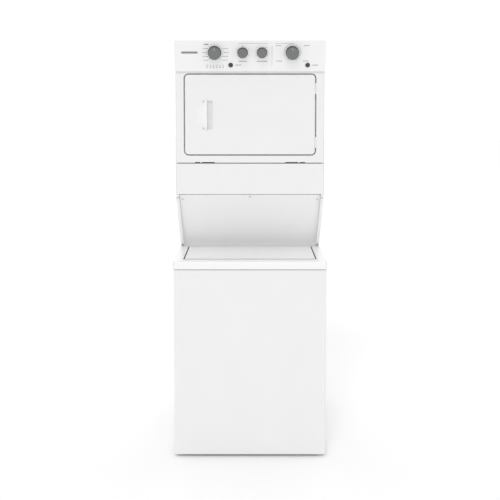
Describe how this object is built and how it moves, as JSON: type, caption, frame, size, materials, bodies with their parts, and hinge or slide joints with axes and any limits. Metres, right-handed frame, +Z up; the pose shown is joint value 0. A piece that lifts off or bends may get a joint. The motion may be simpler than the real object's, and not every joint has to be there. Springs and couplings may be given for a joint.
{
  "type": "washer dryer stack",
  "caption": "Upright laundry centre: a top-loading washer below a front-loading dryer on slanted brackets, with a leaning console of knobs above the dryer door.",
  "frame": {"origin": "middle of the outline's footprint, on the floor under the feet", "axes": "+Z up, front faces -Y, +X to the viewer's right"},
  "size_m": [0.692, 0.82, 1.892],
  "materials": {
    "white_enamel": "gloss",
    "galvanised": "dull",
    "cast_alloy": "cast",
    "steel_bright": "satin",
    "white_plastic": "satin",
    "grey_plastic": "matte",
    "knob_plastic": "satin",
    "dark_plastic": "matte",
    "black_rubber": "matte",
    "seal_rubber": "matte",
    "lens_plastic": "gloss"
  },
  "bodies": {
    "cabinet": {"washer_front_panel": "white_enamel", "washer_cabinet": "white_enamel", "washer_base": "galvanised", "levelling_feet": "black_rubber", "washer_top": "white_enamel", "outer_tub": "grey_plastic", "suspension_rods": "steel_bright", "tub_ring": "white_plastic", "gearcase": "cast_alloy", "washer_motor": "galvanised", "washer_belt": "black_rubber", "drain_pump": "dark_plastic", "inlet_valve": "grey_plastic", "left_bracket": "white_enamel", "right_bracket": "white_enamel", "recess_panel": "white_enamel", "panel_screws": "steel_bright", "dryer_left_side": "white_enamel", "dryer_right_side": "white_enamel", "dryer_top": "white_enamel", "dryer_rear_panel": "galvanised", "dryer_front_panel": "white_enamel", "access_panel": "white_enamel", "dryer_base": "galvanised", "door_hinge_leaves": "white_enamel", "front_bulkhead": "white_plastic", "rear_bulkhead": "galvanised", "drum_belt": "black_rubber", "dryer_motor": "galvanised", "blower_housing": "grey_plastic", "lint_duct": "grey_plastic", "exhaust_duct": "galvanised", "heater_box": "galvanised", "console_panel": "white_plastic", "status_lights": "lens_plastic"},
    "lid": {"washer_lid": "white_enamel"},
    "spin_basket": {"basket": "steel_bright", "balance_ring": "white_plastic"},
    "agitator": {"agitator": "white_plastic"},
    "washer_drive_pulley": {"drive_pulley": "cast_alloy"},
    "washer_motor_pulley": {"motor_pulley": "steel_bright"},
    "dryer_door": {"door_panel": "white_enamel", "door_liner": "white_plastic", "door_seal": "seal_rubber", "door_handle": "white_plastic", "door_hinge_knuckles": "white_enamel"},
    "dryer_drum": {"drum": "white_enamel", "drum_baffles": "white_plastic"},
    "left_roller": {"left_roller": "black_rubber"},
    "right_roller": {"right_roller": "black_rubber"},
    "dryer_motor_shaft": {"motor_shaft": "steel_bright", "blower_wheel": "dark_plastic"},
    "belt_idler": {"idler_pulley": "dark_plastic"},
    "lint_screen": {"lint_screen": "grey_plastic"},
    "washer_timer_knob": {"washer_timer_knob": "knob_plastic"},
    "dryer_timer_knob": {"dryer_timer_knob": "knob_plastic"},
    "temperature_knob": {"temperature_knob": "knob_plastic"},
    "load_knob": {"load_knob": "knob_plastic"},
    "signal_button": {"signal_button": "dark_plastic"},
    "start_button": {"start_button": "dark_plastic"}
  },
  "joints": [
    {"name": "lid_hinge", "type": "hinge", "parent": "cabinet", "child": "lid", "pos_m": [0, -0.023, 0.894], "axis": [-1, 0, 0], "range_deg": [0, 50]},
    {"name": "basket_spin", "type": "hinge", "parent": "cabinet", "child": "spin_basket", "pos_m": [0, -0.085, 0.25], "axis": [0, 0, 1], "continuous": true},
    {"name": "agitator_turn", "type": "hinge", "parent": "spin_basket", "child": "agitator", "pos_m": [0, -0.085, 0.3], "axis": [0, 0, 1], "continuous": true},
    {"name": "drive_pulley_spin", "type": "hinge", "parent": "cabinet", "child": "washer_drive_pulley", "pos_m": [0, -0.085, 0.075], "axis": [0, 0, 1], "continuous": true},
    {"name": "motor_pulley_spin", "type": "hinge", "parent": "cabinet", "child": "washer_motor_pulley", "pos_m": [0.15, 0.15, 0.075], "axis": [0, 0, 1], "continuous": true},
    {"name": "door_hinge", "type": "hinge", "parent": "cabinet", "child": "dryer_door", "pos_m": [0.302, -0.2705, 1.55], "axis": [0, 0, 1], "range_deg": [0, 160]},
    {"name": "drum_spin", "type": "hinge", "parent": "cabinet", "child": "dryer_drum", "pos_m": [0, 0.07, 1.545], "axis": [0, 1, 0], "continuous": true},
    {"name": "left_roller_spin", "type": "hinge", "parent": "cabinet", "child": "left_roller", "pos_m": [-0.17079, 0.345, 1.27167], "axis": [0, 1, 0], "continuous": true},
    {"name": "right_roller_spin", "type": "hinge", "parent": "cabinet", "child": "right_roller", "pos_m": [0.17079, 0.345, 1.27167], "axis": [0, 1, 0], "continuous": true},
    {"name": "motor_shaft_spin", "type": "hinge", "parent": "cabinet", "child": "dryer_motor_shaft", "pos_m": [-0.15, 0.23, 1.09], "axis": [0, 1, 0], "continuous": true},
    {"name": "idler_spin", "type": "hinge", "parent": "cabinet", "child": "belt_idler", "pos_m": [-0.02, 0.322, 1.12], "axis": [0, 1, 0], "continuous": true},
    {"name": "lint_screen_slide", "type": "slide", "parent": "cabinet", "child": "lint_screen", "axis": [0, 0, 1], "range_m": [0, 0.185]},
    {"name": "washer_timer_knob_turn", "type": "hinge", "parent": "cabinet", "child": "washer_timer_knob", "pos_m": [-0.161, -0.30436, 1.837], "axis": [0, -0.9561, -0.2931], "continuous": true},
    {"name": "dryer_timer_knob_turn", "type": "hinge", "parent": "cabinet", "child": "dryer_timer_knob", "pos_m": [0.1925, -0.30436, 1.837], "axis": [0, -0.9561, -0.2931], "continuous": true},
    {"name": "temperature_knob_turn", "type": "hinge", "parent": "cabinet", "child": "temperature_knob", "pos_m": [-0.0335, -0.30436, 1.837], "axis": [0, -0.9561, -0.2931], "range_deg": [-90, 90]},
    {"name": "load_knob_turn", "type": "hinge", "parent": "cabinet", "child": "load_knob", "pos_m": [0.0545, -0.30436, 1.837], "axis": [0, -0.9561, -0.2931], "range_deg": [-90, 90]},
    {"name": "signal_button_press", "type": "slide", "parent": "cabinet", "child": "signal_button", "axis": [0, 0.9561, 0.2931], "range_m": [0, 0.002], "stiffness_N_per_m": 400},
    {"name": "start_button_press", "type": "slide", "parent": "cabinet", "child": "start_button", "axis": [0, 0.9561, 0.2931], "range_m": [0, 0.002], "stiffness_N_per_m": 400}
  ],
  "couplings": [
    {"joint": "drive_pulley_spin", "follows": "basket_spin", "ratio": 1},
    {"joint": "motor_pulley_spin", "follows": "basket_spin", "ratio": 5.8333},
    {"joint": "left_roller_spin", "follows": "drum_spin", "ratio": -9.0625},
    {"joint": "right_roller_spin", "follows": "drum_spin", "ratio": -9.0625},
    {"joint": "motor_shaft_spin", "follows": "drum_spin", "ratio": 20.714},
    {"joint": "idler_spin", "follows": "drum_spin", "ratio": 11.154}
  ]
}
